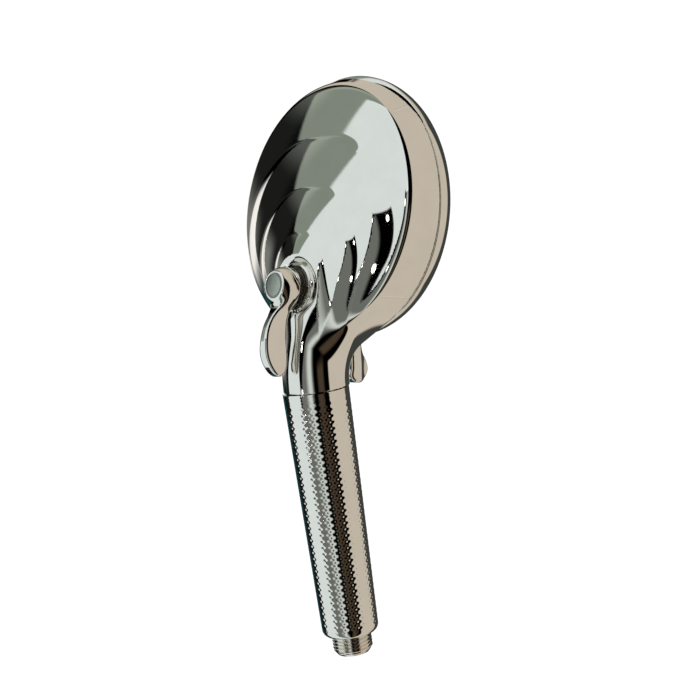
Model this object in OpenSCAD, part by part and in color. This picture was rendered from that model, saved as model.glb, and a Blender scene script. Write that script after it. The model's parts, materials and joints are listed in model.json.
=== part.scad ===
// Handheld shower head: tapered grip, scalloped drum head, pause lever on the back, spray selector at the front.
// Frame: +Z up the grip, the spray leaves towards -Y, origin at the centre of the hose end of the threaded nipple.

/* [Grip] */
// Length of the threaded end that shows below the grip
nipple_len = 10.5; // [9:0.5:12]
// Height of the joint between grip and neck
seam_z = 141; // [130:1:150]
// Outside radius of the grip at its lower end
grip_r_low = 14.8; // [14:0.1:16]
// Outside radius of the grip at the neck joint
grip_r_top = 17.3; // [16.5:0.1:18]

/* [Head] */
// Radius of the drum at the parting line with the turning front
drum_r = 68; // [67.5:0.5:70]
// Radius of the rim round the scalloped back
rim_r = 64; // [62:0.5:66]
// Lean of the spray axis below level
face_tilt = 10; // [8:0.5:12]
// Lean of the rim and of the lever axis above level
back_tilt = 14.5; // [13:0.5:16]
// Depth of the turning front ahead of the parting line
front_depth = 13; // [12.5:0.25:13.5]
// Thickness of the moulded walls
wall = 2.4; // [2:0.1:2.6]

/* [Levers] */
// Length of the pause lever from its axis to its tip
lever_len = 45.5; // [40:0.5:48]
// Radius of the round eye of the pause lever
eye_r = 8.7; // [8.2:0.1:9.2]
// Distance from the spray axis to the tip of the selector tab
tab_reach = 92.5; // [88:0.5:95]

/* [Spray] */
// Nozzles in the three rain rings, inner ring first
rain_counts = [16, 22, 28];
// Bore radius of one nozzle
nozzle_bore_r = 0.6; // [0.5:0.05:0.8]

/* [Hidden] */
$fn = 64;
hull_fn = 48;    // facets of a disc inside a hull
gap = 0.3;       // running gap between bodies
run = 0.06;      // radial clearance of a shaft in its bore
eps = 0.01;      // overlap that keeps cuts clean

// Thread G 1/2
crest_r = 10.4775;
root_r = 9.3155;
pitch = 1.814;
flat = 0.3;
flank = (pitch - 2 * flat) / 2;
chamfer_z = 2;
end_r = 8.6;
grooves = 4;

// Nipple, tube and neck
inlet_r = 7;
inlet_len = 12;
seat_r = 6.6;
shank_r = 9.2;
shank_z = 26;
ledge_z = 18;
ledge_r = 5.5;
tube_r = 8.5;
tube_bore_r = 6.5;
tube_low = nipple_len + 5.1;
tube_top = 146;
socket_r = 12;
socket_top = 30;
sleeve_wall = 1.8;
spigot_len = 12;

// Centre of the drum at the parting line, and of the rim
drum_c = [0, -39.5, 230.3];
rim_c = [0, -21.4, 231.6];
// Scallop discs on the back: distance below the rim centre, height over the rim, radius
scallops = [[11.9, 7.7, 47.8], [23.3, 12.2, 34], [35, 14.6, 22]];

// Lever axis, from the rim centre: distance down, and height of the eye's outer face
lever_down = 42.5;
eye_top = 29.2;
eye_h = 10;
cap_r = 6.8;
collar_r = 10;
flange_r = 13;
collar_top = -eye_h - gap - 0.1;
flange_top = -13.4;
flange_low = -14.8;
spindle_r = 3.5;
hex_r = 3.3;

// Valve, depths below the eye's outer face
block_r = 13.5;
block_top = -18.6;
block_low = -37;
cart_r = 10;
cart_top = -19.2;
cart_low = -34.5;
inlet_depth = 28.5;
bend_z = 152;
disc_r = 7.8;

// Front stack, heights ahead of the parting line
ring_low = gap;
base_low = 3.6;
base_top = 6;
wall_top = 9.5;
mat_low = 9.6;
mat_top = 10.9;
plate_low = 11;
plate_top = front_depth + 0.2;
plate_r = 58.6;
mat_r = 55.4;
cup_r = 33;
post_r = 7;
hub_r = 8.5;
rotor_r = 14.6;
port_at = 20;
channel_back = -11.5;
channel_in = 45.9;
screw_ring = 58;
boss_deep = [[45, -14], [135, -14], [225, -19], [315, -19]];
rain_radii = [33, 41, 49];
mist = [6, 22];
massage = [12, 12.4];
hole_r = 2.1;
cone_r = 1.9;
tip_r = 1.4;
nozzle_z = plate_top + 1.5;
bolt_ring = 56.2;

// Frames: the spray face (+Z out of the front, +Y up), the rim and the lever (+Z out of the back, +Y down)
module face_frame() translate(drum_c) rotate([90 + face_tilt, 0, 0]) children();
module rim_frame() translate(rim_c) rotate([back_tilt - 90, 0, 0]) children();
module lever_frame() rim_frame() translate([0, lever_down, eye_top]) children();

// Every nozzle of the face as [distance from the axis, angle]
function ring_of(n, r, turn = 0) = [for (i = [0:n - 1]) [r, 360 / n * i + turn]];
nozzles = concat(ring_of(rain_counts[0], rain_radii[0]), ring_of(rain_counts[1], rain_radii[1], 5),
                 ring_of(rain_counts[2], rain_radii[2]), ring_of(mist[0], mist[1], 30), ring_of(massage[0], massage[1]));
module at_nozzles() for (p = nozzles) rotate([0, 0, p[1]]) translate([p[0], 0, 0]) children();

// Quarter ellipse from [cx + a, cz] to [cx, cz + b]
function quarter(cx, cz, a, b, n = 8) = [for (i = [0:n]) [cx + a * cos(90 * i / n), cz + b * sin(90 * i / n)]];

module tube(r_out, r_in, low, top) translate([0, 0, low]) difference() {
    cylinder(r = r_out, h = top - low);
    translate([0, 0, -eps]) cylinder(r = r_in, h = top - low + 2 * eps);
}

module disc(r, low, top) translate([0, 0, low]) cylinder(r = r, h = top - low);

module oring(r, wire, z) translate([0, 0, z]) rotate_extrude() translate([r, 0]) circle(r = wire, $fn = 24);

// Helical spring of round wire with square-cut ends, swept as one polyhedron
module spring(r, wire, low, top, turns, sides = 6, steps = 12) {
    rings = turns * steps;
    rise = (top - low - 2 * wire) / rings;
    points = [for (i = [0:rings]) for (j = [0:sides - 1])
        let (a = 360 * i / steps, b = 360 * j / sides, q = r + wire * cos(b))
        [q * cos(a), q * sin(a), low + wire + rise * i + wire * sin(b)]];
    skin = [for (i = [0:rings - 1]) for (j = [0:sides - 1])
        [i * sides + j, i * sides + (j + 1) % sides, (i + 1) * sides + (j + 1) % sides, (i + 1) * sides + j]];
    ends = [[for (j = [sides - 1:-1:0]) j], [for (j = [0:sides - 1]) rings * sides + j]];
    polyhedron(points, concat(skin, ends));
}

// Pan-head screw along -Z from its head's underside at z = 0, with a cross slot
module screw(r, length, head_r, head_h) difference() {
    union() {
        translate([0, 0, -length]) cylinder(r = r, h = length + eps);
        cylinder(r1 = head_r, r2 = head_r * 0.8, h = head_h);
    }
    for (a = [0, 90]) rotate([0, 0, a])
        translate([-head_r * 0.55, -head_r * 0.11, head_h * 0.4]) cube([head_r * 1.1, head_r * 0.22, head_h]);
}

// ---- Grip ----

function thread_outline() = concat([[end_r, 0], [crest_r, chamfer_z]],
    [for (i = [0:grooves - 1]) for (p = [[crest_r, flat], [root_r, flat + flank], [root_r, 2 * flat + flank],
        [crest_r, pitch]]) [p[0], chamfer_z + i * pitch + p[1]]]);

module hose_nipple() color("silver") difference() {
    rotate_extrude() polygon(concat([[inlet_r, 0]], thread_outline(),
        [[crest_r, nipple_len - 0.05], [shank_r, nipple_len - 0.05], [shank_r, shank_z], [ledge_r, shank_z],
         [ledge_r, ledge_z],
         [seat_r, ledge_z], [seat_r, inlet_len], [inlet_r, inlet_len]]));
    tube(shank_r + 1, shank_r - 1, shank_z - 4, shank_z - 2.6);
}

module nipple_seal() color("dimgray") oring(shank_r - 0.5, 0.5, shank_z - 3.3);

// Rounded lower edge of the grip, from its underside round to its side
function fillet(r, z, f, n = 8) = [for (i = [n:-1:0]) [r - f + f * cos(90 * i / n), z + f - f * sin(90 * i / n)]];

module handle_sleeve() color("silver") rotate_extrude() polygon(concat([[shank_r + 0.1, nipple_len]],
    fillet(grip_r_low, nipple_len, 3.5),
    [[grip_r_top, seam_z - 0.1], [grip_r_top - sleeve_wall, seam_z - 0.1],
     [grip_r_low - sleeve_wall, nipple_len + 5], [shank_r + 0.1, nipple_len + 3]]));

module waterway_tube() color("whitesmoke") difference() {
    union() {
        disc(tube_r, tube_low, tube_top);
        disc(socket_r, tube_low, socket_top);
        for (a = [0:90:270]) rotate([0, 0, a]) translate([tube_r - 1, -0.7, socket_top - 1]) cube([5.2, 1.4, 88]);
    }
    disc(shank_r + 0.05, tube_low - 1, shank_z + 0.4);
    disc(tube_bore_r, tube_low, tube_top + 1);
}

module filter_gasket() color("dimgray") tube(seat_r - 0.05, seat_r - 1.3, inlet_len + 0.2, inlet_len + 1.1);

module filter_screen() color("lightgray") translate([0, 0, inlet_len + 1.15]) linear_extrude(0.45) difference() {
    circle(r = seat_r - 0.05);
    for (x = [-4.5:1.5:4.5], y = [-4.5:1.5:4.5])
        if (norm([x, y]) < seat_r - 1.6) translate([x - 0.5, y - 0.5]) square(1);
}

module flow_regulator() color("mediumseagreen") difference() {
    disc(seat_r - 0.05, inlet_len + 1.7, ledge_z - 0.05);
    tube(4.6, 2.6, inlet_len + 1, inlet_len + 3.6);
    for (a = [0:45:315]) rotate([0, 0, a]) translate([3.6, 0, inlet_len + 3]) cylinder(r = 0.55, h = 4, $fn = 24);
}

module regulator_oring() color("black") oring(3.55, 0.7, inlet_len + 2.8);

// ---- Back shell and valve ----

// Discs between which the outside of the head is stretched; inset shrinks them for the cavity
module head_discs(inset) {
    rim_frame() {
        disc(rim_r - inset, -1 - inset, -inset, $fn = hull_fn);
        for (s = scallops) translate([0, s[0], 0]) disc(s[2] - inset, s[1] - 1 - inset, s[1] - inset, $fn = hull_fn);
    }
}

module neck_bulge(r, up) translate([0, -9, 178 + up]) scale([1, 0.95, 1]) sphere(r = r, $fn = 32);

module rear_housing() color("silver") difference() {
    union() {
        hull() {
            head_discs(0);
            face_frame() disc(drum_r, -1, 0, $fn = hull_fn);
        }
        hull() {
            disc(grip_r_top, seam_z, seam_z + 12, $fn = hull_fn);
            neck_bulge(17.6, 0);
        }
        disc(grip_r_top - sleeve_wall - 0.5, seam_z - spigot_len, seam_z + 1);
    }
    difference() {
        hull() {
            head_discs(wall);
            face_frame() disc(drum_r - wall, -1.5, 1, $fn = hull_fn);
        }
        face_frame() for (b = boss_deep) rotate([0, 0, b[0]]) translate([screw_ring, 0, 0]) disc(4, -30, -3.7);
    }
    hull() {
        disc(grip_r_top - wall - 1.5, seam_z + 1.5, seam_z + 12, $fn = hull_fn);
        neck_bulge(14.8, 0);
    }
    disc(grip_r_top - sleeve_wall - 2.5, seam_z - spigot_len - 1, seam_z + 3);
    lever_frame() {
        disc(collar_r + 0.1, -22, 0);
        disc(flange_r + 0.2, flange_low - 0.1, 0);
    }
    face_frame() for (b = boss_deep) rotate([0, 0, b[0]]) translate([screw_ring, 0, 0]) disc(1.3, b[1] + 1, 0);
}

module valve_block() color("whitesmoke") difference() {
    union() {
        lever_frame() {
            disc(block_r, block_low, block_top);
            disc(6.5, block_low - 5, block_low + 1);
            translate([0, 0, -inlet_depth]) rotate([-90, 0, 0]) disc(8, 0, 40);
        }
        translate([0, 0, bend_z]) sphere(r = 8, $fn = 48);
        disc(tube_bore_r - 0.15, tube_top - 12, bend_z);
        disc(tube_r, tube_top + 0.1, bend_z);
    }
    lever_frame() {
        disc(cart_r + 0.05, cart_low - 1.6, block_top + 1);
        disc(4.5, block_low - 6, cart_low);
        translate([0, 0, -inlet_depth]) rotate([-90, 0, 0]) disc(4.5, 0, 44);
        tube(8, 5.8, block_low - 3.6, block_low - 2.2);
    }
    disc(4.5, tube_top - 13, bend_z + 1);
    tube(tube_r, tube_bore_r - 1, tube_top - 7, tube_top - 5.6);
}

module tube_seal() color("dimgray") oring(tube_bore_r - 0.52, 0.45, tube_top - 6.3);

module cartridge_body() color("ivory") lever_frame() difference() {
    disc(cart_r - 0.05, cart_low, cart_top);
    disc(spindle_r + run, cart_low, cart_top + 1);
    disc(disc_r + 0.1, cart_low - 1, -25.5);
    for (a = [0:90:270]) rotate([0, 0, a]) translate([0, 0, -26.5]) rotate([90, 0, 0]) disc(2.2, disc_r - 1, cart_r + 1);
}

module base_seal() color("dimgray") lever_frame() tube(cart_r - 0.1, 5, cart_low - 1.5, cart_low - 0.05);

// Ceramic disc with two round ports across the given axis
module ceramic(low, top, turn) lever_frame() difference() {
    disc(disc_r, low, top);
    for (a = [0, 180]) rotate([0, 0, turn + a]) translate([4.2, 0, 0]) disc(2, low - 1, top + 1);
}

module fixed_disc() color("white") ceramic(cart_low + 0.05, -31, 0);
module turning_disc() color("white") ceramic(-30.9, -28.2, 0);

module valve_collar() color("silver") lever_frame() difference() {
    union() {
        disc(cart_r - 0.05, cart_top + 0.05, flange_low);
        disc(flange_r, flange_low, flange_top);
        disc(collar_r, flange_top, collar_top);
    }
    disc(spindle_r + run, cart_top - 1, collar_top + 1);
}

module valve_spindle() color("goldenrod") lever_frame() difference() {
    union() {
        disc(disc_r - 0.2, -28.1, -25.8);
        disc(spindle_r, -26, -9);
        disc(hex_r, -9, -5, $fn = 6);
    }
    disc(1.3, -14, -4);
    tube(spindle_r + 1, spindle_r - 0.8, -22.8, -21.6);
}

module spindle_oring() color("dimgray") lever_frame() oring(spindle_r - 0.38, 0.38, -22.2);

// Side outline of the lever's arm: distance down, underside, back face, width
arm = [[5, -9.4, -0.6, 5], [11, -9.6, -0.4, 4.2], [20, -9.0, 0.6, 4.8], [30, -8.7, 2, 6.4], [38, -8.4, 2, 7]];

// Pair of balls that spans one station of the arm
module arm_post(s) for (z = [s[1] + s[3] / 2, s[2] - s[3] / 2])
    translate([0, s[0], z]) sphere(r = s[3] / 2, $fn = 20);

module pause_lever() color("silver") lever_frame() difference() {
    union() {
        rotate_extrude() polygon([[0, 0], [eye_r - 0.6, 0], [eye_r - 0.1, -1], [eye_r + 0.2, -6], [eye_r + 0.3, -9],
            [eye_r, -eye_h], [0, -eye_h]]);
        for (i = [0:3]) hull() {
            arm_post(arm[i]);
            arm_post(arm[i + 1]);
        }
        hull() {
            arm_post(arm[4]);
            translate([0, lever_len - 3.4, -3.4]) scale([0.85, 1, 1.3]) sphere(r = 3.4, $fn = 24);
        }
    }
    disc(cap_r + 0.1, -2.6, 1);
    disc(3.2, -4.2, 0);
    disc(hex_r + 0.05, -12, -4.9, $fn = 6);
    disc(spindle_r + 0.05, -12, -8.9);
    disc(1.7, -6, -3);
}

module lever_screw() color("silver") lever_frame() translate([0, 0, -4.15]) screw(1.25, 8, 2.9, 1.4);

module lever_cap() color("gainsboro") lever_frame()
    rotate_extrude() polygon([[0, -2.5], [cap_r, -2.5], [cap_r, -0.7], [cap_r - 1.2, 0.2], [0, 0.2]]);

module outlet_seal() color("dimgray") lever_frame() oring(6.3, 0.45, block_low - 2.9);

// ---- Fixed diverter behind the turning front ----

module manifold() color("whitesmoke") face_frame() difference() {
    union() {
        disc(62, -3.5, -1);
        tube(35.5, cup_r, -1.1, 3.2);
        disc(post_r, -1.1, wall_top);
        translate([-9, -channel_in - 9, channel_back]) cube([18, 34, 8.1]);
        translate([0, -port_at, 0]) tube(5.8, 4.5, -1.1, 1.8);
        rotate([0, 0, 90]) translate([24, 0, 0]) disc(3.4, -1.1, 1.6);
    }
    translate([-7, -channel_in - 7, channel_back + 2]) cube([14, 30, 4.2]);
    translate([0, -channel_in, 0]) rotate([back_tilt - face_tilt, 0, 0]) disc(6.8, channel_back - 3, channel_back + 3);
    translate([0, -port_at, 0]) disc(4.5, -4.9, 2);
    disc(1.5, -1, wall_top + 1);
    rotate([0, 0, 90]) translate([24, 0, 0]) disc(1.9, -1.9, 2);
    for (b = boss_deep) rotate([0, 0, b[0]]) translate([screw_ring, 0, 0]) disc(1.7, -4, 0);
}

module manifold_screws() color("silver") face_frame()
    for (b = boss_deep) rotate([0, 0, b[0]]) translate([screw_ring, 0, -0.95]) screw(1.25, 9, 2.8, 1.6);

module port_seal() color("dimgray") face_frame() translate([0, -port_at, 0]) difference() {
    disc(4.4, -1, 3.5);
    disc(2.6, -2, 4);
    disc(3.5, -2, 0.6);
}

module port_spring() color("silver") face_frame() translate([0, -port_at, 0]) spring(3.1, 0.3, -4.8, 0.5, 4);

module detent_ball() color("silver") face_frame() translate([0, 24, 1.75]) sphere(r = 1.8, $fn = 32);

module detent_spring() color("silver") face_frame() translate([0, 24, 0]) spring(1.4, 0.15, -1.85, -0.1, 2.5);

module centre_screw() color("silver") face_frame() translate([0, 0, wall_top + 0.7]) screw(1.45, 9.5, 3.4, 1.7);

module centre_washer() color("silver") face_frame() tube(8.4, 1.6, wall_top + 0.05, wall_top + 0.65);

// ---- Turning front ----

module distributor() color("whitesmoke") face_frame() difference() {
    union() {
        disc(57, base_low, base_top);
        tube(cup_r - 0.2, cup_r - 3.2, -0.6, base_low + 1);
        disc(hub_r, base_low, wall_top - 0.1);
        tube(17, 15.5, base_top - 1, wall_top);
        tube(28.5, 27, base_top - 1, wall_top);
        tube(57, 55.4, base_top - 1, wall_top);
        for (a = [0:60:300]) rotate([0, 0, a]) translate([52, 0, 0]) disc(3, base_top - 1, wall_top);
    }
    disc(post_r + run, -1, wall_top + 1);
    tube(cup_r + 1, cup_r - 1.2, 0.6, 2);
    for (a = [-48:24:48]) rotate([0, 0, a]) translate([0, -port_at, 0]) disc(2.4, base_low - 1, base_top + 1);
    for (a = [-48:24:48]) rotate([0, 0, a]) translate([0, 24, 1.75]) sphere(r = 2.3, $fn = 32);
    for (a = [30:60:330]) rotate([0, 0, a]) translate([40, 0, 0]) disc(3, base_low - 1, base_top + 1);
    for (a = [0:60:300]) rotate([0, 0, a]) translate([52, 0, 0]) disc(1.3, base_low - 1, wall_top + 1);
}

module spigot_oring() color("dimgray") face_frame() oring(cup_r - 0.62, 0.55, 1.3);

module massage_rotor() color("orange") face_frame() difference() {
    union() {
        disc(hub_r + 1.4, base_top + 0.2, mat_low - 0.3);
        disc(rotor_r, base_top + 0.2, base_top + 0.9);
        for (a = [0:45:315]) rotate([0, 0, a]) translate([hub_r + 1, -0.4, base_top + 0.5]) cube([rotor_r - hub_r - 1.2, 0.8, 2.2]);
    }
    disc(hub_r + run, base_top, mat_low);
    rotate_extrude(angle = 150) translate([hub_r + 2, base_top]) square([3, 0.6 + 0.4]);
}

module nozzle_mat() color("gray") face_frame() difference() {
    union() {
        disc(mat_r, mat_low, mat_top);
        at_nozzles() translate([0, 0, mat_top - 0.2]) cylinder(r1 = cone_r, r2 = tip_r, h = nozzle_z - mat_top + 0.2, $fn = 24);
    }
    disc(9, mat_low - 1, mat_top + 1);
    at_nozzles() disc(nozzle_bore_r, mat_low - 1, nozzle_z + 1, $fn = 24);
    for (a = [0:60:300]) rotate([0, 0, a]) translate([52, 0, 0]) disc(3.2, mat_low - 1, mat_top + 1);
}

module face_plate() color("lightgray") face_frame() difference() {
    union() {
        disc(plate_r, plate_low, plate_top);
        for (a = [0:60:300]) rotate([0, 0, a]) translate([52, 0, 0]) disc(3, wall_top + 0.05, plate_low + 1);
    }
    disc(9, plate_low - 1, plate_top + 1);
    at_nozzles() disc(hole_r, plate_low - 1, plate_top + 1, $fn = 24);
    for (a = [0:60:300]) rotate([0, 0, a]) translate([52, 0, 0]) disc(1.1, wall_top - 1, plate_top - 0.8);
}

module face_screws() color("silver") face_frame() for (a = [0:60:300])
    rotate([0, 0, a]) translate([52, 0, base_low - 0.05]) mirror([0, 0, 1]) screw(1.05, 8, 2.4, 1.5);

module selector_ring() color("silver") face_frame() rotate_extrude() polygon(concat(
    [[drum_r - 4.5, -2], [drum_r - 3.1, -2], [drum_r - 3.1, 0.3], [drum_r, ring_low], [drum_r + 0.1, 2]],
    quarter(58.8, 2, drum_r - 58.8, front_depth - 2),
    [[plate_r + 0.1, front_depth], [plate_r + 0.1, plate_low - 0.05], [mat_r + 0.6, plate_low - 0.05],
     [mat_r + 0.6, wall_top + 0.1], [60, wall_top + 0.1]],
    [for (i = [6:-1:0]) quarter(57.8, 2, drum_r - 61.6, 6.8)[i]]));

// Side outline of the tab: distance down from the axis, back, front, width
tab = [[67, 2.4, 7.8, 3.6], [74, 0.4, 7, 3.8], [79, -0.4, 9, 4.6], [84, -0.6, 11, 5.4]];

module tab_post(s) for (z = [s[1] + s[3] / 2, s[2] - s[3] / 2]) translate([0, -s[0], z]) sphere(r = s[3] / 2, $fn = 20);

module selector_tab() color("silver") face_frame() {
    for (i = [0:2]) hull() {
        tab_post(tab[i]);
        tab_post(tab[i + 1]);
    }
    hull() {
        tab_post(tab[3]);
        translate([0, -(tab_reach - 4.6), 4.9]) scale([0.55, 1, 1.1]) sphere(r = 4.6, $fn = 24);
    }
}

module centre_cap() color("silver") face_frame() difference() {
    rotate_extrude() polygon([[0, plate_top + 1.6], [6, plate_top + 1.4], [9.6, plate_top + 0.8], [10.6, plate_top + 0.05],
        [8.9, plate_top + 0.05], [8.9, plate_low], [8, plate_low], [8, plate_top + 0.3], [0, plate_top + 0.3]]);
}

rear_housing();
handle_sleeve();
waterway_tube();
hose_nipple();
nipple_seal();
filter_gasket();
filter_screen();
flow_regulator();
regulator_oring();
tube_seal();
valve_block();
cartridge_body();
fixed_disc();
base_seal();
valve_collar();
turning_disc();
valve_spindle();
spindle_oring();
pause_lever();
lever_screw();
lever_cap();
outlet_seal();
manifold();
manifold_screws();
port_seal();
port_spring();
detent_ball();
detent_spring();
centre_screw();
centre_washer();
distributor();
spigot_oring();
massage_rotor();
nozzle_mat();
face_plate();
face_screws();
selector_ring();
selector_tab();
centre_cap();
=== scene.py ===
# Handheld shower head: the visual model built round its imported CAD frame.
# Shapes are worked out in millimetres in the CAD frame and scaled to metres when a mesh is made.
import json
import math
from collections import namedtuple

import bpy
import numpy as np
from mathutils import Matrix, Vector


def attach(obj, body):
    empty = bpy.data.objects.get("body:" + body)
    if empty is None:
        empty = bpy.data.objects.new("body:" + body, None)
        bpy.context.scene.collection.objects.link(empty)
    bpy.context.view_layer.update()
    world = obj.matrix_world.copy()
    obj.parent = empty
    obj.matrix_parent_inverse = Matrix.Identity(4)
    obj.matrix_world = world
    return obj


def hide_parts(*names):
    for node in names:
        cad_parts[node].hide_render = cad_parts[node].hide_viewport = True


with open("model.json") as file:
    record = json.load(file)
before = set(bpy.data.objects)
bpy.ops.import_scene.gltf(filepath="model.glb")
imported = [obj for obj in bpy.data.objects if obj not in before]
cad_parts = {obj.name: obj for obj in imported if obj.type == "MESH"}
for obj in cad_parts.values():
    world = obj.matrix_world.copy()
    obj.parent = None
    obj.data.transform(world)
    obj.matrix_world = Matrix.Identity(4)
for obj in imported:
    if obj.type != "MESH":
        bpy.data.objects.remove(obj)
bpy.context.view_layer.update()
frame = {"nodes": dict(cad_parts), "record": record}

MM = 0.001
TAU = 2 * math.pi

# ---------------------------------------------------------------- dimensions, mm
SEAM_Z = 141.0                              # joint between grip and neck
NECK_R = 17.27                              # neck, and the grip at its top
GRIP_LOW_R, GRIP_LOW_Z = 14.8, 10.5         # foot of the grip
THREAD_R, THREAD_ROOT, THREAD_PITCH = 10.4775, 9.3155, 1.814
FACE_TILT = math.radians(10.0)              # lean of the spray face and the parting plane
BACK_TILT = math.radians(14.5)              # lean of the plane through the rim of the back
DRUM_C = np.array([0.0, -39.5, 230.3])      # drum axis in the parting plane
DRUM_R = 68.1
RIM_C = np.array([0.0, -21.4, 231.6])       # centre of the rim of the back
RIM_R = 64.0
LEVER_DOWN, EYE_TOP = 42.5, 29.2            # lever axis below the rim's centre, eye's top over the rim
WALL = 2.4

# Unit axes: X across, and in the two tilted frames N out of the back and T up the disc
X_AXIS = np.array([1.0, 0.0, 0.0])
N_BACK = np.array([0.0, math.cos(BACK_TILT), math.sin(BACK_TILT)])
T_BACK = np.array([0.0, -math.sin(BACK_TILT), math.cos(BACK_TILT)])
N_FACE = np.array([0.0, math.cos(FACE_TILT), math.sin(FACE_TILT)])
T_FACE = np.array([0.0, -math.sin(FACE_TILT), math.cos(FACE_TILT)])
LEVER_C = RIM_C - T_BACK * LEVER_DOWN + N_BACK * EYE_TOP


def from_face(p):
    """Face frame (x across, y up the face, z out of the spray side) to the CAD frame."""
    p = np.asarray(p, float)
    return DRUM_C + np.outer(p[:, 0], X_AXIS) + np.outer(p[:, 1], T_FACE) - np.outer(p[:, 2], N_FACE)


def from_lever(p):
    """Lever frame (x across, y down the arm, z outwards) to the CAD frame."""
    p = np.asarray(p, float)
    return LEVER_C + np.outer(p[:, 0], X_AXIS) - np.outer(p[:, 1], T_BACK) + np.outer(p[:, 2], N_BACK)


# ---------------------------------------------------------------- field maths
# A field gives the distance to a surface, negative inside, for an array of points
def smooth_min(a, b, k):
    """Union of two fields with a fillet about k wide."""
    h = np.clip(0.5 + 0.5 * (b - a) / k, 0, 1)
    return b + (a - b) * h - k * h * (1 - h)


def smooth_max(a, b, k):
    """Common part of two fields with its edge rounded about k wide."""
    return -smooth_min(-a, -b, k)


def smoothstep(lo, hi, v):
    """0 below lo, 1 above hi, with a smooth rise between."""
    u = np.clip((v - lo) / (hi - lo), 0, 1)
    return u * u * (3 - 2 * u)


def soft_plus(v, e):
    """Positive part of v with its corner softened over e."""
    return 0.5 * (v + np.sqrt(v * v + e * e))


def gradient(f, p, eps):
    """Slope of a field by central differences."""
    g = np.empty_like(p)
    for i in range(3):
        d = np.zeros(3)
        d[i] = eps
        g[:, i] = (f(p + d) - f(p - d)) / (2 * eps)
    return g


def field_normals(f, p, eps):
    """Unit normals of a field."""
    g = gradient(f, p, eps)
    return g / np.maximum(np.linalg.norm(g, axis=1), 1e-9)[:, None]


def toward(f, p):
    """The move that takes each point onto f = 0 along the gradient, as (gradient, factor)."""
    g = gradient(f, p, 0.02)
    return g, f(p) / np.maximum((g * g).sum(1), 1e-6)


def surface_net(f, lo, hi, step):
    """Quad mesh of the surface f = 0 inside a box: one point in every cell that the surface crosses."""
    axes = [np.arange(l, h + step, step) for l, h in zip(lo, hi)]
    shape = tuple(len(a) for a in axes)
    values = np.empty(shape)
    yz = np.stack(np.meshgrid(axes[1], axes[2], indexing="ij"), -1).reshape(-1, 2)
    for i, x in enumerate(axes[0]):
        p = np.column_stack([np.full(len(yz), x), yz])
        values[i] = f(p).reshape(shape[1:])
    inside = values < 0
    cells = tuple(n - 1 for n in shape)
    corners = [(i, j, k) for i in (0, 1) for j in (0, 1) for k in (0, 1)]

    def at_corner(a, c):
        return a[c[0]:c[0] + cells[0], c[1]:c[1] + cells[1], c[2]:c[2] + cells[2]]

    count = sum(at_corner(inside, c).astype(np.int8) for c in corners)
    mixed = (count > 0) & (count < 8)
    index = -np.ones(cells, np.int64)
    index[mixed] = np.arange(mixed.sum())

    # The point is the mean of the places where the surface cuts the cell's edges
    total = np.zeros((int(mixed.sum()), 3))
    hits = np.zeros(len(total))
    for a in corners:
        for axis in range(3):
            if a[axis]:
                continue
            b = list(a)
            b[axis] = 1
            va, vb = at_corner(values, a)[mixed], at_corner(values, b)[mixed]
            cross = (va < 0) != (vb < 0)
            t = va[cross] / (va[cross] - vb[cross])
            q = np.tile(np.array(a, float), (len(t), 1))
            q[:, axis] = t
            total[cross] += q
            hits[cross] += 1
    verts = (np.argwhere(mixed) + total / hits[:, None]) * step + np.array([a[0] for a in axes])

    # Every grid edge that the surface cuts gets a quad between the four cells round it
    quads = []
    for axis in range(3):
        u, v = (axis + 1) % 3, (axis + 2) % 3
        a = [slice(1, -1)] * 3
        a[axis] = slice(0, -1)
        b = list(a)
        b[axis] = slice(1, None)
        first, second = inside[tuple(a)], inside[tuple(b)]
        where = np.argwhere(first != second)
        start = first[first != second]
        where[:, u] += 1
        where[:, v] += 1
        ring = []
        for du, dv in ((-1, -1), (0, -1), (0, 0), (-1, 0)):
            c = where.copy()
            c[:, u] += du
            c[:, v] += dv
            ring.append(index[c[:, 0], c[:, 1], c[:, 2]])
        ring = np.stack(ring, 1)
        ring[~start] = ring[~start][:, ::-1]
        quads.append(ring)
    return verts, np.concatenate(quads)


def settle(f, p, step):
    """Moves points onto f = 0 along its gradient."""
    for _ in range(5):
        g, factor = toward(f, p)
        p = p - g * np.clip(factor, -step, step)[:, None]
    return p


def snap(f, edge, p, reach, where):
    """Moves points near the crease edge = 0 of the surface f = 0 onto it."""
    near = (np.abs(edge(p)) < reach) & where(p)
    q = p[near]
    for _ in range(6):
        for field in (edge, f):
            g, factor = toward(field, q)
            q = q - g * factor[:, None]
    good = np.linalg.norm(q - p[near], axis=1) < 2 * reach
    p[np.flatnonzero(near)[good]] = q[good]
    return p


# ---------------------------------------------------------------- meshes
SHARP_ANGLE = math.radians(28)


def add_mesh(name, verts, quads, body, node, material, normals=None):
    """A piece that rides a body and stands in for a CAD node."""
    mesh = bpy.data.meshes.new(name)
    quads = np.asarray(quads)
    mesh.vertices.add(len(verts))
    mesh.vertices.foreach_set("co", (np.asarray(verts, float) * MM).astype(np.float32).ravel())
    mesh.loops.add(quads.size)
    mesh.loops.foreach_set("vertex_index", quads.astype(np.int32).ravel())
    mesh.polygons.add(len(quads))
    mesh.polygons.foreach_set("loop_start", np.arange(0, quads.size, 4, dtype=np.int32))
    mesh.update(calc_edges=True)
    mesh.validate()
    mesh.shade_smooth()
    if normals is None:
        mesh.set_sharp_from_angle(angle=SHARP_ANGLE)
    else:
        mesh.normals_split_custom_set_from_vertices(np.asarray(normals, np.float32))
    mesh.materials.append(material)
    piece = bpy.data.objects.new(name, mesh)
    bpy.context.scene.collection.objects.link(piece)
    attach(piece, body)
    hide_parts(node)
    return piece


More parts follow.
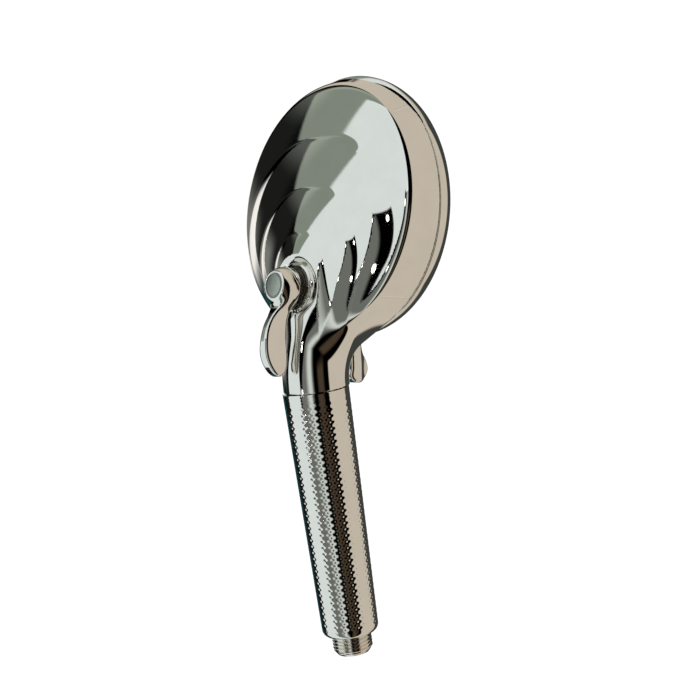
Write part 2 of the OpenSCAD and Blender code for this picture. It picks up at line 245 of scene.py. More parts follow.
def turned(outline, segments, radius=None):
    """Closed outline [(r, z), ...] turned round Z; radius(theta, r, z) may change it on the way."""
    outline = np.asarray(outline, float)
    theta, r = np.meshgrid(np.arange(segments) * TAU / segments, outline[:, 0], indexing="ij")
    z = np.tile(outline[:, 1], (segments, 1))
    if radius is not None:
        r = radius(theta, r, z)
    verts = np.stack([r * np.cos(theta), r * np.sin(theta), z], -1).reshape(-1, 3)
    m = len(outline)
    i, j = np.meshgrid(np.arange(segments), np.arange(m), indexing="ij")
    i2, j2 = (i + 1) % segments, (j + 1) % m
    quads = np.stack([i * m + j, i2 * m + j, i2 * m + j2, i * m + j2], -1).reshape(-1, 4)
    return verts, quads


def net_piece(name, field, lo, hi, step, place, body, node, material):
    """A piece from a field in its own frame, put in place by a frame function."""
    verts, quads = surface_net(field, lo, hi, step)
    verts = settle(field, verts, step)
    origin = place(np.zeros((1, 3)))
    normals = place(gradient(field, verts, 0.06)) - origin
    normals /= np.maximum(np.linalg.norm(normals, axis=1), 1e-9)[:, None]
    if np.linalg.det(place(np.eye(3)) - origin) < 0:
        quads = quads[:, ::-1]
    return add_mesh(name, place(verts), quads, body, node, material, normals)


# ---------------------------------------------------------------- outlines and fins
def rounded(points, radii, steps):
    """Closed outline with each corner rounded to its own radius."""
    points = [np.array(p, float) for p in points]
    out = []
    for i, (p, r) in enumerate(zip(points, radii)):
        a, b = points[i - 1] - p, points[(i + 1) % len(points)] - p
        la, lb = np.linalg.norm(a), np.linalg.norm(b)
        a, b = a / la, b / lb
        half = 0.5 * math.acos(max(-1, min(1, float(a @ b))))
        cut = min(r / math.tan(half), 0.49 * la, 0.49 * lb) if r > 0 and half > 0.01 else 0
        if cut <= 1e-6 or half > 1.56:
            out.append(p)
            continue
        r = cut * math.tan(half)
        centre = p + (a + b) / np.linalg.norm(a + b) * (r / math.sin(half))
        s, e = p + a * cut - centre, p + b * cut - centre
        turn = math.acos(max(-1, min(1, float(s @ e) / r / r)))
        for k in range(steps + 1):
            t = k / steps
            out.append(centre + (math.sin((1 - t) * turn) * s + math.sin(t * turn) * e) / math.sin(turn))
    return np.array(out)


def quarter_arc(cu, cv, a, b, start, end, steps):
    """Points of an ellipse with half axes a and b, from one angle to another in degrees."""
    t = np.radians(np.linspace(start, end, steps))
    return [(cu + a * math.cos(k), cv + b * math.sin(k)) for k in t]


def closed_curve(points, steps=5):
    """Smooth closed curve through a few points (Catmull-Rom)."""
    p = np.array(points, float)
    n = len(p)
    t = np.arange(steps)[:, None] / steps
    out = []
    for i in range(n):
        a, b, c, d = p[i - 1], p[i], p[(i + 1) % n], p[(i + 2) % n]
        out.append(0.5 * (2 * b + (c - a) * t + (2 * a - 5 * b + 4 * c - d) * t ** 2
                          + (3 * b - a - 3 * c + d) * t ** 3))
    return np.concatenate(out)


def outline_distance(outline, u, v):
    """Signed distance from (u, v) to a closed outline, negative inside."""
    best = np.full(u.shape, 1e9)
    inside = np.zeros(u.shape, bool)
    for (au, av), (bu, bv) in zip(outline, np.roll(outline, -1, 0)):
        du, dv = bu - au, bv - av
        t = np.clip(((u - au) * du + (v - av) * dv) / (du * du + dv * dv + 1e-12), 0, 1)
        best = np.minimum(best, np.hypot(u - au - t * du, v - av - t * dv))
        if av != bv:
            inside ^= ((av > v) != (bv > v)) & (u < (bu - au) * (v - av) / (bv - av) + au)
    return np.where(inside, -best, best)


def fin_field(outline, x, u, v, half, edge):
    """Outline in (u, v), half thick to each side along x, with its edges rounded."""
    a = outline_distance(outline, u, v) + edge
    b = np.abs(x) - half + edge
    return np.hypot(np.maximum(a, 0), np.maximum(b, 0)) + np.minimum(np.maximum(a, b), 0) - edge


# ---------------------------------------------------------------- back shell: drum, scalloped back and neck
# A petal is the outline round a large circle above and a small one below, both on the back's middle
# line. It rises downwards from its leading edge by slope, less a fade and a droop to the sides.
Petal = namedtuple("Petal", "top top_r foot foot_r slope fade droop")
PETALS = [Petal(-8.5, 46.1, -76.5, 16.3, 0.185, 0.0016, 0.0007),
          Petal(-21.4, 32.1, -73.3, 11.0, 0.20, 0.0020, 0.0021),
          Petal(-30.4, 16.9, -80.5, 13.5, 0.19, 0.0021, 0.0060)]
LIP, LIP_REACH = 0.12, 6.0                            # extra rise just inside a leading edge
COVE, COVE_SIDE, COVE_GROW = 1.0, 0.075, 3.8          # hollow outside a petal: least, by x, by rise
CREASE = 0.12                                         # softness of a petal's edge
CROWN = 4.9                                           # dome of the back between its rim
LAND_H, LAND_R, LAND_FOOT_R = 12.8, 12.5, 17.0        # flat under the lever
NECK_LEAN, NECK_BEND_Z, NECK_BEND = 0.335, 153.0, 12.0
NECK_TAPER, NECK_TAPER_Z = 0.055, 152.0
NECK_TOP_Z, NECK_TOP_EDGE = 200.0, 10.0
RIM_DEPTH, RIM_DEPTH_SWING = 18.1, 4.9                # rim over the parting plane, and its change up the disc
RIM_EDGE_R, RIM_EDGE_SWING = 64.1, 1.9
FILLET_FRONT, FILLET_BACK = 24.0, 8.0                 # between drum and neck
BACK_EDGE, PARTING_EDGE, SEAM_EDGE = 2.6, 1.1, 0.45   # rounding of the shell's three edges
SEAM_GAP = 0.15
SHELL_STEP = 0.8


def petal_distance(x, t, petal):
    """Signed distance to a petal's outline."""
    height = petal.top - petal.foot
    b = (petal.top_r - petal.foot_r) / height
    a = math.sqrt(1 - b * b)
    px, py = np.abs(x), petal.top - t
    k = -b * px + a * py
    flank = px * a + py * b - petal.top_r
    return np.where(k < 0, np.hypot(px, py) - petal.top_r,
                    np.where(k > a * height, np.hypot(px, py - height) - petal.foot_r, flank))


def back_height(x, t):
    """Height of the back over the rim plane."""
    u, v = x / RIM_R, t / RIM_R
    h = CROWN * (1 - u * u - v * v) * (1 + 0.5 * u * u + 0.5 * v * v)
    for petal in PETALS:
        along = petal.top + petal.top_r - t
        rise = petal.slope * along - petal.fade * along * along - petal.droop * x * x
        rise = rise + LIP * (1 - np.exp(-np.maximum(along, 0) / LIP_REACH))
        rise = (soft_plus(rise, CREASE) - CREASE / 2) * smoothstep(-2.0, 3.0, along)
        width = COVE + COVE_SIDE * np.abs(x) + COVE_GROW * rise
        cove = np.clip(soft_plus(petal_distance(x, t, petal), CREASE) / width, 0, 1)
        h = h + rise * (1 - cove) ** 2
    land = 1 - smoothstep(LAND_R, LAND_FOOT_R, np.hypot(x, t + LEVER_DOWN))
    return h + (LAND_H - h) * land


def rim_coords(p):
    """Across, up and out of the rim plane."""
    q = p - RIM_C
    return q[:, 0], q @ T_BACK, q @ N_BACK


def neck_field(p, shrink=0.0):
    """Round neck that leaves the grip upright and bends forward."""
    x, y, z = p[:, 0], p[:, 1], p[:, 2]
    over = z - NECK_BEND_Z
    centre = -NECK_LEAN * soft_plus(over, NECK_BEND)
    slope = NECK_LEAN * 0.5 * (1 + over / np.sqrt(over ** 2 + NECK_BEND ** 2))
    squeeze = 1 / np.sqrt(1 + slope * slope)
    r = NECK_R - NECK_TAPER * soft_plus(z - NECK_TAPER_Z, 6.0) - shrink
    return smooth_max(np.hypot(x, (y - centre) * squeeze) - r, 0.7 * (z - NECK_TOP_Z), NECK_TOP_EDGE)


def drum_field(p, shrink=0.0):
    """Drum between the parting plane and the scalloped back, with a coned side.

    1.03 and 0.94 keep the two fields close to true distances.
    """
    x, t, h = rim_coords(p)
    back = (h - back_height(x, t) + shrink) / 1.03
    q = p - DRUM_C
    u, w = q @ T_FACE, q @ N_FACE
    rho = np.hypot(q[:, 0], u)
    up = u / np.maximum(rho, 1e-6)
    rim_w = RIM_DEPTH - RIM_DEPTH_SWING * up
    rim_r = RIM_EDGE_R - RIM_EDGE_SWING * up
    side = (rho - (DRUM_R + (rim_r - DRUM_R) * w / rim_w) + shrink) * 0.94
    return smooth_max(back, side, BACK_EDGE)


def outer_field(p):
    """Outside of drum and neck, open-ended past the parting plane and the seam."""
    h = (p - RIM_C) @ N_BACK
    drum = smooth_max(drum_field(p), -((p - DRUM_C) @ N_FACE) - 6.0, 2.0)
    fillet = FILLET_FRONT + (FILLET_BACK - FILLET_FRONT) * smoothstep(-8.0, 16.0, h)
    return smooth_min(drum, neck_field(p), fillet)


def inner_field(p):
    """Hollow of drum and neck."""
    return smooth_min(drum_field(p, WALL), neck_field(p, WALL + 1.4), 4.0)


def shell_field(p):
    """Drum and neck in one hollow piece, cut off at the parting plane and at the seam."""
    parting = (DRUM_C - p) @ N_FACE
    seam = SEAM_Z + SEAM_GAP - p[:, 2]
    outside = smooth_max(smooth_max(outer_field(p), parting, PARTING_EDGE), seam, SEAM_EDGE)
    return np.maximum(outside, -inner_field(p))


def build_shell(material):
    """The shell's mesh, with its points on the petals' edges and normals from the field."""
    verts, quads = surface_net(shell_field, (-74, -46, 139.8), (74, 22, 304), SHELL_STEP)
    verts = settle(shell_field, verts, SHELL_STEP)

    def on_back(p):
        _, t, h = rim_coords(p)
        return (np.abs(outer_field(p)) < 0.3 * SHELL_STEP) & (h > 0) & (t > -62)

    for petal in PETALS:
        def edge(p, petal=petal):
            x, t, _ = rim_coords(p)
            return petal_distance(x, t, petal)
        verts = snap(outer_field, edge, verts, 0.42 * SHELL_STEP, on_back)
    add_mesh("back_shell", verts, quads, "housing", "rear_housing", material,
             field_normals(shell_field, verts, 0.12))


# ---------------------------------------------------------------- grip and hose thread
KNURL_AROUND, KNURL_ROW, KNURL_DEEP = 26, 3.3, 0.09
GRIP_WALL, GRIP_FOOT_R, GRIP_TOP_GAP = 1.8, 3.5, 0.12
GRIP_STEP = 0.35                            # mesh rows along the side
GRIP_BORE_R, GRIP_FLOOR_Z = 9.6, 15.5       # hole for the nipple
GRIP_STEP_R, GRIP_STEP_Z = 12, 30           # narrow lower end of the inside
THREAD_END, THREAD_LEAD_R = 10.4, 8.5       # thread's upper end, and radius of its start
SHANK_R, NIPPLE_TOP = 9.2, 26.0
INLET_R, INLET_DEEP = 7.0, 12.0


def grip_side(z):
    """Outer radius of the tapered grip."""
    return GRIP_LOW_R + (NECK_R - GRIP_LOW_R) / (SEAM_Z - GRIP_LOW_Z) * (z - GRIP_LOW_Z)


def knurl(theta, z):
    """Diamond pillows of two crossing helices, faded out at both ends of the grip."""
    around, up = KNURL_AROUND * theta, TAU * z / KNURL_ROW
    pillow = 0.5 * (np.cos(around + up) + np.cos(around - up))
    top_fade = 1 - smoothstep(SEAM_Z - 14.0, SEAM_Z - 1.5, z)
    low_fade = smoothstep(GRIP_LOW_Z + 3.0, GRIP_LOW_Z + 6.0, z)
    return KNURL_DEEP * (pillow - 0.3 * pillow * pillow) * top_fade * low_fade


def build_grip(material):
    """Hollow tapered grip: floor, rounded foot, knurled side, rim at the seam, bore."""
    low, top = GRIP_LOW_Z, SEAM_Z - GRIP_TOP_GAP
    foot_z = low + GRIP_FOOT_R
    foot_arc = quarter_arc(grip_side(foot_z) - GRIP_FOOT_R, foot_z, GRIP_FOOT_R, GRIP_FOOT_R, -90, 0, 9)
    outside = [(grip_side(z), z) for z in np.arange(foot_z + GRIP_STEP, top - 0.5, GRIP_STEP)]
    edge = grip_side(top)
    outline = ([(GRIP_BORE_R, low + 0.3), (GRIP_BORE_R + 0.3, low)] + foot_arc + outside
               + [(edge, top - 0.3), (edge - 0.08, top - 0.08), (edge - 0.3, top), (edge - GRIP_WALL, top),
                  (edge - GRIP_WALL, top - 12), (grip_side(low) - GRIP_WALL, GRIP_STEP_Z + 2),
                  (GRIP_STEP_R, GRIP_STEP_Z), (GRIP_STEP_R, GRIP_FLOOR_Z), (GRIP_BORE_R, GRIP_FLOOR_Z)])

    def radius(theta, r, z):
        return r + np.where(r > grip_side(z) - 0.01, knurl(theta, z), 0)

    verts, quads = turned(outline, 10 * KNURL_AROUND, radius)
    add_mesh("knurled_grip", verts, quads, "housing", "handle_sleeve", material)


def build_nipple(material):
    """Threaded nipple with a stepped bore; the thread runs out into the plain shank."""
    def radius(theta, r, z):
        turn = z / THREAD_PITCH - theta / TAU
        flank = np.clip((np.abs(turn - np.floor(turn) - 0.5) * 2 - 0.22) / 0.6, 0, 1)
        flank = 0.35 * flank * flank * (3 - 2 * flank) + 0.65 * flank
        cut = THREAD_ROOT + (THREAD_R - THREAD_ROOT) * flank
        cut = cut + (THREAD_R - cut) * smoothstep(THREAD_END - 1.6, THREAD_END - 0.6, z)
        cut = np.minimum(cut, THREAD_LEAD_R + 0.72 * z)
        return np.where((r > THREAD_R - 0.01) & (z < THREAD_END + 0.01), cut, r)

    crests = [(THREAD_R, z) for z in np.arange(0.0, THREAD_END + 0.01, 0.1)]
    outline = ([(INLET_R, 0.25), (INLET_R + 0.25, 0.0)] + crests
               + [(SHANK_R, THREAD_END + 0.05), (SHANK_R, NIPPLE_TOP), (5.5, NIPPLE_TOP), (5.5, 18.0),
                  (6.6, 18.0), (6.6, INLET_DEEP), (INLET_R, INLET_DEEP)])
    verts, quads = turned(outline, 128, radius)
    add_mesh("hose_thread", verts, quads, "housing", "hose_nipple", material)


# ---------------------------------------------------------------- pause lever, its cap and collar
EYE_DEEP, EYE_FRONT_R, EYE_FLARE, EYE_EDGE = 10.0, 7.85, 2.0, 0.7
WELL_R, WELL_DEEP, BORE_R = 6.25, 2.8, 3.6  # the cap's well, and the screw's bore under it
ARM_HALF, ARM_EDGE, ARM_FILLET = 2.8, 1.8, 4.0
# Side of the arm: (down, out) round the outer edge from the eye, then back along the inner edge
ARM = closed_curve([(2.0, -3.2), (8.0, -3.4), (14.0, 0.5), (21.7, 4.2), (30.3, 5.2), (37.4, 3.8),
                    (43.4, -0.4), (45.7, -5.0), (43.6, -8.6), (39.2, -9.6), (34.4, -9.4), (27.2, -8.6),
                    (20.1, -8.6), (13.0, -9.4), (6.0, -9.9), (1.0, -9.6)])
# Cap and collar as turned outlines: (radius, out), with the radius of each corner
CAP = rounded([(0.0001, 0.0), (5.45, 0.0), (5.45, -0.5), (5.85, -0.5), (5.85, 0.15), (6.18, 0.15),
               (6.18, -2.5), (0.0001, -2.5)], [0, 0.12, 0.04, 0.04, 0.1, 0.1, 0.2, 0], 3)
COLLAR = rounded([(3.6, -10.4), (8.6, -10.4), (9.3, -10.9), (9.3, -11.7), (10.3, -12.0), (10.3, -13.0),
                  (11.6, -13.5), (12.9, -13.7), (13.0, -16.0), (9.9, -16.0), (9.9, -19.0), (3.6, -19.0)],
                 [0.2, 0.5, 0.25, 0.15, 0.35, 0.2, 0.3, 0.35, 0.1, 0.1, 0.1, 0.1], 3)
FLANGE_R = 11.5                             # the flange's faces start here
LUG_R, LUG_OUT, LUG_ACROSS = 12.4, -13.5, -2.0


def lever_field(p):
    """Round eye that flares towards the collar, joined to the curved arm, with the cap's well."""
    x, down, out = p[:, 0], p[:, 1], p[:, 2]
    rho = np.hypot(x, down)
    depth = np.clip(-out / 7.2, 0, 1)
    flank = (rho - EYE_FRONT_R - EYE_FLARE * depth * (2 - depth)) * 0.93
    eye = smooth_max(flank, np.maximum(out, -out - EYE_DEEP), EYE_EDGE)
    half = ARM_HALF + 0.6 * smoothstep(22, 36, down) + 3.2 * (1 - smoothstep(5, 17, down))
    arm = fin_field(ARM, x, down, out, half, ARM_EDGE)
    body = np.maximum(smooth_min(eye, arm, ARM_FILLET), -out - EYE_DEEP)
    well = smooth_max(rho - WELL_R, -WELL_DEEP - out, 0.2)
    bore = np.maximum(rho - BORE_R, -12.0 - out)
    return smooth_max(body, -np.minimum(well, bore), 0.35)


def build_lever(material, cap_material):
    """Lever with the cap in its eye."""
    net_piece("pause_lever_arm", lever_field, (-11, -11, -10.8), (11, 47.6, 6.4), 0.3, from_lever,
              "pause_valve", "pause_lever", material)
    verts, quads = turned(CAP, 96)
    add_mesh("lever_cap_disc", from_lever(verts), quads[:, ::-1], "pause_valve",
             "lever_cap", cap_material)


def collar_field(p):
    """Stepped ring with one small lug on its flange, below the eye."""
    x, down, out = p[:, 0], p[:, 1], p[:, 2]
    rho = np.hypot(x, down)
    ring = outline_distance(COLLAR, rho, out)
    lug = np.maximum(np.abs(rho - LUG_R) - 1.2, np.abs(out - LUG_OUT) - 1.1)
    lug = np.where(down > 0, np.maximum(np.abs(x - LUG_ACROSS) - 1.3, lug), 9.0)
    return smooth_min(ring, lug, 0.5)


def build_collar(material, flange_material):
    """Collar painted dark brown-black as painted shade under the eye, with its flange in plain nickel."""
    ring = net_piece("collar_ring", collar_field, (-14.5, -14.5, -19.6), (14.5, 14.5, -9.9), 0.3,
                     from_lever, "housing", "valve_collar", material)
    ring.data.materials.append(flange_material)
    # Faces out past FLANGE_R take plain nickel; the faces inside keep the painted shade
    for face in ring.data.polygons:
        away = np.array(face.center) / MM - LEVER_C
        if np.hypot(away[0], away @ T_BACK) > FLANGE_R:
            face.material_index = 1


# ---------------------------------------------------------------- selector: ring and tab
# Side of the tab: (down from the axis, out of the front)
TAB = closed_curve([(66.2, 4.4), (67.6, 7.6), (71.5, 7.3), (75.6, 8.2), (80.0, 11.2), (84.9, 12.8),
                    (88.8, 11.4), (91.3, 8.4), (92.4, 4.5), (91.4, 0.8), (88.8, -1.1), (85.0, -0.6),
                    (80.0, -0.5), (75.6, 0.0), (69.6, 1.2)])
TAB_EDGE = 1.2


def build_selector_ring(material):
    """Bezel round the face: foot in the drum, rounded outside, lip over the face plate, inside."""
    outer = quarter_arc(58.9, 2.0, 9.2, 11.0, 4, 88, 22)
    inner = quarter_arc(57.9, 2.0, 6.4, 6.8, 84, 0, 12)
    outline = ([(64.9, -1.9), (64.9, 0.35), (67.4, 0.35), (67.85, 0.5), (68.05, 0.95), (DRUM_R, 1.6)]
               + outer
               + [(58.85, 13.0), (58.7, 12.8), (58.7, 11.0), (56.1, 11.0), (56.1, 9.65), (58.5, 9.6)]
               + inner[1:] + [(63.6, -1.9)])
    verts, quads = turned(outline, 240)
    add_mesh("selector_bezel", from_face(verts), quads[:, ::-1], "spray_head",
             "selector_ring", material)


def tab_field(p):
    """Teardrop fin, thickest along its middle."""
    x, down, out = p[:, 0], -p[:, 1], p[:, 2]
    half = 3.1 + 0.7 * smoothstep(72, 84, down) - 0.055 * (out - 3.0) ** 2
    return fin_field(TAB, x, down, out, np.maximum(half, TAB_EDGE), TAB_EDGE)


def build_tab(material):
    net_piece("selector_fin", tab_field, (-5, -94, -3), (5, -66, 14), 0.32, from_face,
              "spray_head", "selector_tab", material)


# ---------------------------------------------------------------- materials
def add_node(tree, kind, inputs=(), **settings):
    """A shader node; an input may be a value or another node's output."""
    node = tree.nodes.new(kind)
    for key, value in settings.items():
        setattr(node, key, value)
    for key, value in dict(inputs).items():
        if isinstance(value, bpy.types.NodeSocket):
            tree.links.new(value, node.inputs[key])
        else:
            node.inputs[key].default_value = value
    return node


def crossed_weave(tree, place, scale):
    """Height of two crossing sets of waves."""
    bands = []
    for turn in (0.7, -0.7):
        twist = add_node(tree, "ShaderNodeMapping", {"Vector": place, "Rotation": (0.0, turn, 0.4)})
        wave = add_node(tree, "ShaderNodeTexWave", {"Vector": twist.outputs["Vector"], "Scale": scale,
                                                    "Distortion": 0.6}, bands_direction="Z")
        bands.append(wave.outputs["Fac"])
    return add_node(tree, "ShaderNodeMath", {0: bands[0], 1: bands[1]}, operation="MAXIMUM").outputs[0]


def finish(name, colour, second, metallic, roughness, spread, grain, bump, weave=0.0, coat=0.0):
    """A finish whose colour and roughness wander with noise, with a fine bump."""
    material = bpy.data.materials.new(name)
    material.use_nodes = True
    tree = material.node_tree
    shader = tree.nodes.get("Principled BSDF")
    shader.inputs["Metallic"].default_value = metallic
    shader.inputs["Coat Weight"].default_value = coat
    place = add_node(tree, "ShaderNodeTexCoord").outputs["Object"]
    broad = add_node(tree, "ShaderNodeTexNoise", {"Vector": place, "Scale": grain * 0.12, "Detail": 4.0})
    fine = add_node(tree, "ShaderNodeTexNoise", {"Vector": place, "Scale": grain, "Detail": 5.0,
                                                 "Roughness": 0.6}).outputs["Fac"]
    ramp = add_node(tree, "ShaderNodeValToRGB", {"Fac": broad.outputs["Fac"]})
    for stop, at, tint in zip(ramp.color_ramp.elements, (0.35, 0.65), (colour, second)):
        stop.position = at
        stop.color = (*tint, 1)
    tree.links.new(ramp.outputs["Color"], shader.inputs["Base Color"])
    rough = add_node(tree, "ShaderNodeMapRange",
                     {"Value": fine, "From Min": 0.3, "From Max": 0.7,
                      "To Min": max(roughness - spread, 0.0), "To Max": roughness + spread})
    tree.links.new(rough.outputs["Result"], shader.inputs["Roughness"])
    height = fine
    if weave:
        woven = crossed_weave(tree, place, weave)
        height = add_node(tree, "ShaderNodeMath", {0: woven, 1: fine}, operation="ADD").outputs[0]
    bumped = add_node(tree, "ShaderNodeBump", {"Height": height, "Strength": bump, "Distance": 0.0002})
    tree.links.new(bumped.outputs["Normal"], shader.inputs["Normal"])
    return material


# One finish for each slot: two colours, metallic, roughness, its spread, grain, bump, weave, coat
SLOT_FINISHES = {
    "polished_nickel": ((0.87, 0.85, 0.82), (0.84, 0.82, 0.785), 1.0, 0.035, 0.012, 900, 0.012),
    "nickel_plated_brass": ((0.83, 0.80, 0.75), (0.78, 0.74, 0.68), 1.0, 0.13, 0.05, 700, 0.08),
    "face_satin": ((0.72, 0.72, 0.71), (0.66, 0.66, 0.65), 1.0, 0.28, 0.06, 1500, 0.15),
    "nozzle_silicone": ((0.18, 0.19, 0.20), (0.14, 0.15, 0.16), 0.0, 0.55, 0.08, 900, 0.2),
    "white_plastic": ((0.82, 0.82, 0.80), (0.76, 0.76, 0.74), 0.0, 0.4, 0.08, 700, 0.15),
    "valve_brass": ((0.80, 0.58, 0.30), (0.70, 0.48, 0.23), 1.0, 0.28, 0.08, 600, 0.2),
    "cartridge_plastic": ((0.30, 0.34, 0.42), (0.24, 0.28, 0.36), 0.0, 0.42, 0.08, 700, 0.15),
    "ceramic": ((0.88, 0.86, 0.80), (0.82, 0.80, 0.75), 0.0, 0.18, 0.05, 1200, 0.05, 0.0, 0.4),
    "black_rubber": ((0.02, 0.02, 0.02), (0.035, 0.034, 0.032), 0.0, 0.6, 0.1, 900, 0.3),
    "steel": ((0.62, 0.62, 0.63), (0.54, 0.54, 0.55), 1.0, 0.24, 0.08, 900, 0.12),
    "regulator_green": ((0.06, 0.36, 0.16), (0.05, 0.29, 0.13), 0.0, 0.42, 0.08, 700, 0.15),
    "rotor_orange": ((0.80, 0.30, 0.06), (0.70, 0.25, 0.05), 0.0, 0.42, 0.08, 700, 0.15),
}
FINISHES = {name: finish(name, *settings) for name, settings in SLOT_FINISHES.items()}
# The cap's satin roughness is real, but its darker grey-green colour is a painted reflection of the grey card
CAP_SATIN_PAINTED_REFLECTION = finish("cap_satin_painted_reflection", (0.50, 0.54, 0.49), (0.47, 0.50, 0.46), 1.0, 0.40, 0.04, 1500, 0.05)
# Painted shade: the collar is coloured dark brown-black for the shadow and inter-reflection it sits in under
# the eye, not for a dark metal
COLLAR_PAINTED_SHADE = finish("collar_painted_shade", (0.10, 0.085, 0.07), (0.07, 0.06, 0.05), 1.0, 0.09, 0.03, 900, 0.05)
GRIP_METAL = finish("knurled_nickel", (0.87, 0.85, 0.82), (0.84, 0.82, 0.785), 1.0, 0.045, 0.015, 900, 0.05,
                    weave=260.0)


def dress_cad():
    """Gives each carried-over CAD node the finish of its slot."""
    for part in frame["record"]["subparts"]:
        for held in frame["nodes"][part["node"]].material_slots:
            held.material = FINISHES[part["material_slot"]]


# ---------------------------------------------------------------- camera
VIEW_BEARING = 138.5                                         # degrees, that the light is set out from
VIEW_FROM = (-546.6, 456.84, 249.07)                         # mm
VIEW_RIGHT, VIEW_UP = (-0.6696, -0.7294, -0.1396), (0.0002, -0.1882, 0.9821)
VIEW_BACK = (-0.7427, 0.6576, 0.1262)
LENS, SENSOR = 72.0, 36.0                                    # mm


def add_camera():
    """Camera by its place and its own axes, as fitted to the photo."""
    data = bpy.data.cameras.new("camera")
    data.lens, data.sensor_width = LENS, SENSOR
    data.clip_start, data.clip_end = 0.01, 50.0
    camera = bpy.data.objects.new("camera", data)
    bpy.context.scene.collection.objects.link(camera)
    turn = Matrix((VIEW_RIGHT, VIEW_UP, VIEW_BACK)).transposed()
    camera.matrix_world = Matrix.Translation(Vector(VIEW_FROM) * MM) @ turn.to_4x4()
    bpy.context.scene.camera = camera


# ---------------------------------------------------------------- light
# Soft boxes round the object. Left and right are bearings from the camera and low and high are
# rises, in degrees, with soft the half width of a box's edges. A leaning edge is (bearing at
# LEAN_RISE, change of bearing for each degree of rise).
Box = namedtuple("Box", "name left right low high colour soft")
LEAN_RISE = 28.0
GREY_EDGE, LIGHT_EDGE, SIDE_EDGE = (-112.5, -0.7), (-98.5, 0.3), (-36.0, 0.4)
LIGHT, WARM = (0.76, 0.83, 0.82), (0.61, 0.55, 0.46)
BOXES = [
    Box("backdrop", -200, -138, -3, 14, (1.0, 0.98, 0.95), 3.0),
    Box("left_flag", -138, -122, -3, 14, (0.19, 0.20, 0.185), 4.0),
    Box("dark_wall", -131, -112, -90, 90, (0.012, 0.013, 0.012), 3.0),
    Box("dim_side", -128, -112, 29, 90, (0.09, 0.10, 0.09), 4.0),
    Box("teal_wall", -200, -140, -90, -4, (0.014, 0.055, 0.06), 2.5),
    Box("grey_card", GREY_EDGE, LIGHT_EDGE, -90, 90, (0.24, 0.275, 0.235), 0.7),
    Box("light_bank", LIGHT_EDGE, -57, -90, 90, LIGHT, 0.7),
    Box("high_light", -57, -12, 26, 90, LIGHT, 0.7),
    Box("side_bank", SIDE_EDGE, -12, -90, 26, (0.16, 0.17, 0.155), 2.0),
    Box("side_light", -28, -12, -90, 26, (0.50, 0.55, 0.53), 8.0),
    Box("brown_door", 8, 27, -90, 8, (0.065, 0.046, 0.03), 5.0),
    Box("warm_wall", 46, 118, -90, 90, WARM, 2.0),
    Box("warm_ceiling", 118, 200, 34, 90, WARM, 3.0),
    Box("warm_ceiling_back", -200, -150, 30, 90, WARM, 3.0),
    Box("warm_table", 118, 200, -90, -50, WARM, 3.0),
    Box("warm_table_back", -200, -150, -90, -50, WARM, 3.0),
    Box("far_wall", 118, 200, -50, 34, (0.05, 0.055, 0.05), 3.0),
]
# Two small lamps: (bearing from the camera, rise), with the glow's inner and outer radius
LAMPS = [(-50.0, 22.0), (-50.0, -4.0)]
LAMP_INNER, LAMP_OUTER, LAMP_COLOUR = 0.7, 1.6, (14.0, 13.5, 12.5)


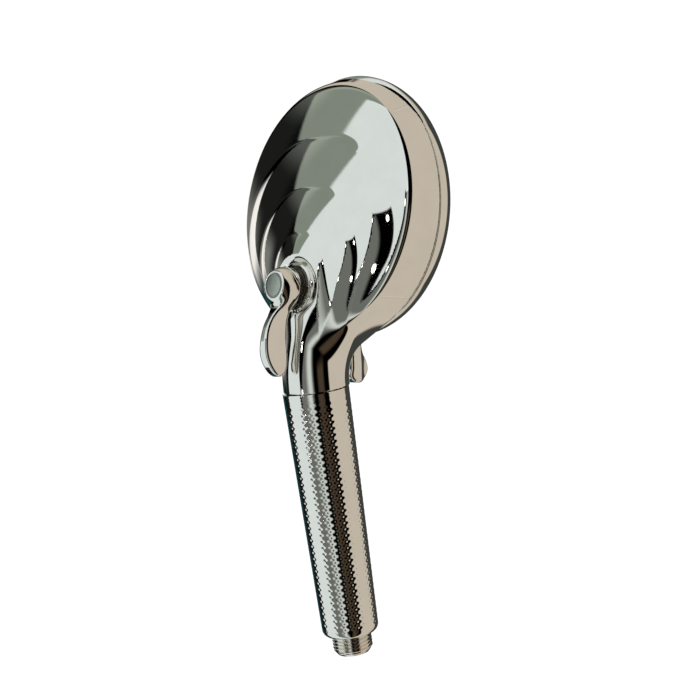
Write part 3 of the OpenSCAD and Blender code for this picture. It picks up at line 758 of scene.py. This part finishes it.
def add_world():
    """Light of the soft boxes and lamps for the object, plain white for the camera."""
    world = bpy.data.worlds.new("studio")
    bpy.context.scene.world = world
    world.use_nodes = True
    tree = world.node_tree
    tree.nodes.clear()

    def maths(operation, a, b=0.0, c=0.0):
        return add_node(tree, "ShaderNodeMath", {0: a, 1: b, 2: c}, operation=operation).outputs[0]

    way = add_node(tree, "ShaderNodeTexCoord").outputs["Generated"]
    xyz = add_node(tree, "ShaderNodeSeparateXYZ", {"Vector": way}).outputs
    bearing = maths("DEGREES", maths("ARCTAN2", xyz["Y"], xyz["X"]))
    bearing = maths("WRAP", maths("SUBTRACT", bearing, VIEW_BEARING), 180.0, -180.0)
    rise = maths("DEGREES", maths("ARCSINE", xyz["Z"]))
    lean_rise = maths("SUBTRACT", rise, LEAN_RISE)

    def past(value, edge, soft):
        """0 before an edge, 1 after it."""
        if isinstance(edge, tuple):
            edge, lean = edge
            value = maths("SUBTRACT", value, maths("MULTIPLY", lean_rise, lean))
        return add_node(tree, "ShaderNodeMapRange",
                        {"Value": value, "From Min": edge - soft, "From Max": edge + soft},
                        interpolation_type="SMOOTHSTEP").outputs["Result"]

    def box_mask(box):
        """1 inside a box; an edge at the end of the range is left out."""
        mask = None
        sides = ((bearing, box.left, 180, False), (bearing, box.right, 180, True),
                 (rise, box.low, 90, False), (rise, box.high, 90, True))
        for value, edge, limit, falling in sides:
            if not isinstance(edge, tuple) and abs(edge) >= limit:
                continue
            part = past(value, edge, box.soft)
            if falling:
                part = maths("SUBTRACT", 1.0, part)
            mask = part if mask is None else maths("MULTIPLY", mask, part)
        return mask

    def lamp_mask(at, high):
        a, b = math.radians(at + VIEW_BEARING), math.radians(high)
        aim = (math.cos(a) * math.cos(b), math.sin(a) * math.cos(b), math.sin(b))
        near = add_node(tree, "ShaderNodeVectorMath", {0: way, 1: aim}, operation="DOT_PRODUCT")
        return add_node(tree, "ShaderNodeMapRange",
                        {"Value": near.outputs["Value"], "From Min": math.cos(math.radians(LAMP_OUTER)),
                         "From Max": math.cos(math.radians(LAMP_INNER))}).outputs["Result"]

    lights = [(box.name, box_mask(box), box.colour) for box in BOXES]
    lights += [("lamp", lamp_mask(*lamp), LAMP_COLOUR) for lamp in LAMPS]
    total = (0.0, 0.0, 0.0)
    for name, mask, colour in lights:
        tint = add_node(tree, "ShaderNodeVectorMath", {0: colour, "Scale": mask},
                        operation="SCALE", label=name)
        total = add_node(tree, "ShaderNodeVectorMath", {0: total, 1: tint.outputs[0]},
                         operation="ADD").outputs[0]
    seen = add_node(tree, "ShaderNodeLightPath").outputs["Is Camera Ray"]
    studio = add_node(tree, "ShaderNodeBackground", {"Color": total, "Strength": 1.0})
    plain = add_node(tree, "ShaderNodeBackground", {"Color": (1.0, 1.0, 1.0, 1.0), "Strength": 1.05})
    mix = add_node(tree, "ShaderNodeMixShader", {0: seen, 1: studio.outputs[0], 2: plain.outputs[0]})
    add_node(tree, "ShaderNodeOutputWorld", {"Surface": mix.outputs[0]})
    bpy.context.scene.view_settings.view_transform = "Standard"


# ---------------------------------------------------------------- floor
FLOOR_Z, FLOOR_R, FLOOR_THICK = -420, 900, 4


def add_floor():
    """Pale round floor well below the object, not seen in its reflections."""
    outline = rounded([(0.0001, FLOOR_Z), (FLOOR_R, FLOOR_Z), (FLOOR_R, FLOOR_Z - FLOOR_THICK),
                       (0.0001, FLOOR_Z - FLOOR_THICK)], [0, 1, 1, 0], 2)
    verts, quads = turned(outline, 96)
    mesh = bpy.data.meshes.new("floor")
    mesh.from_pydata((verts * MM).tolist(), [], quads[:, ::-1].tolist())
    paint = finish("floor_paint", (0.92, 0.92, 0.92), (0.9, 0.9, 0.9), 0.0, 0.8, 0.05, 60, 0.05)
    shader = paint.node_tree.nodes.get("Principled BSDF")
    shader.inputs["Emission Color"].default_value = (1, 1, 1, 1)
    shader.inputs["Emission Strength"].default_value = 0.75
    mesh.materials.append(paint)
    floor = bpy.data.objects.new("floor", mesh)
    bpy.context.scene.collection.objects.link(floor)
    floor.visible_glossy = False


# ---------------------------------------------------------------- scene
dress_cad()
nickel = FINISHES["polished_nickel"]
build_shell(nickel)
build_grip(GRIP_METAL)
build_nipple(FINISHES["nickel_plated_brass"])
build_lever(nickel, CAP_SATIN_PAINTED_REFLECTION)
build_collar(COLLAR_PAINTED_SHADE, nickel)
build_selector_ring(nickel)
build_tab(nickel)
add_camera()
add_world()
add_floor()
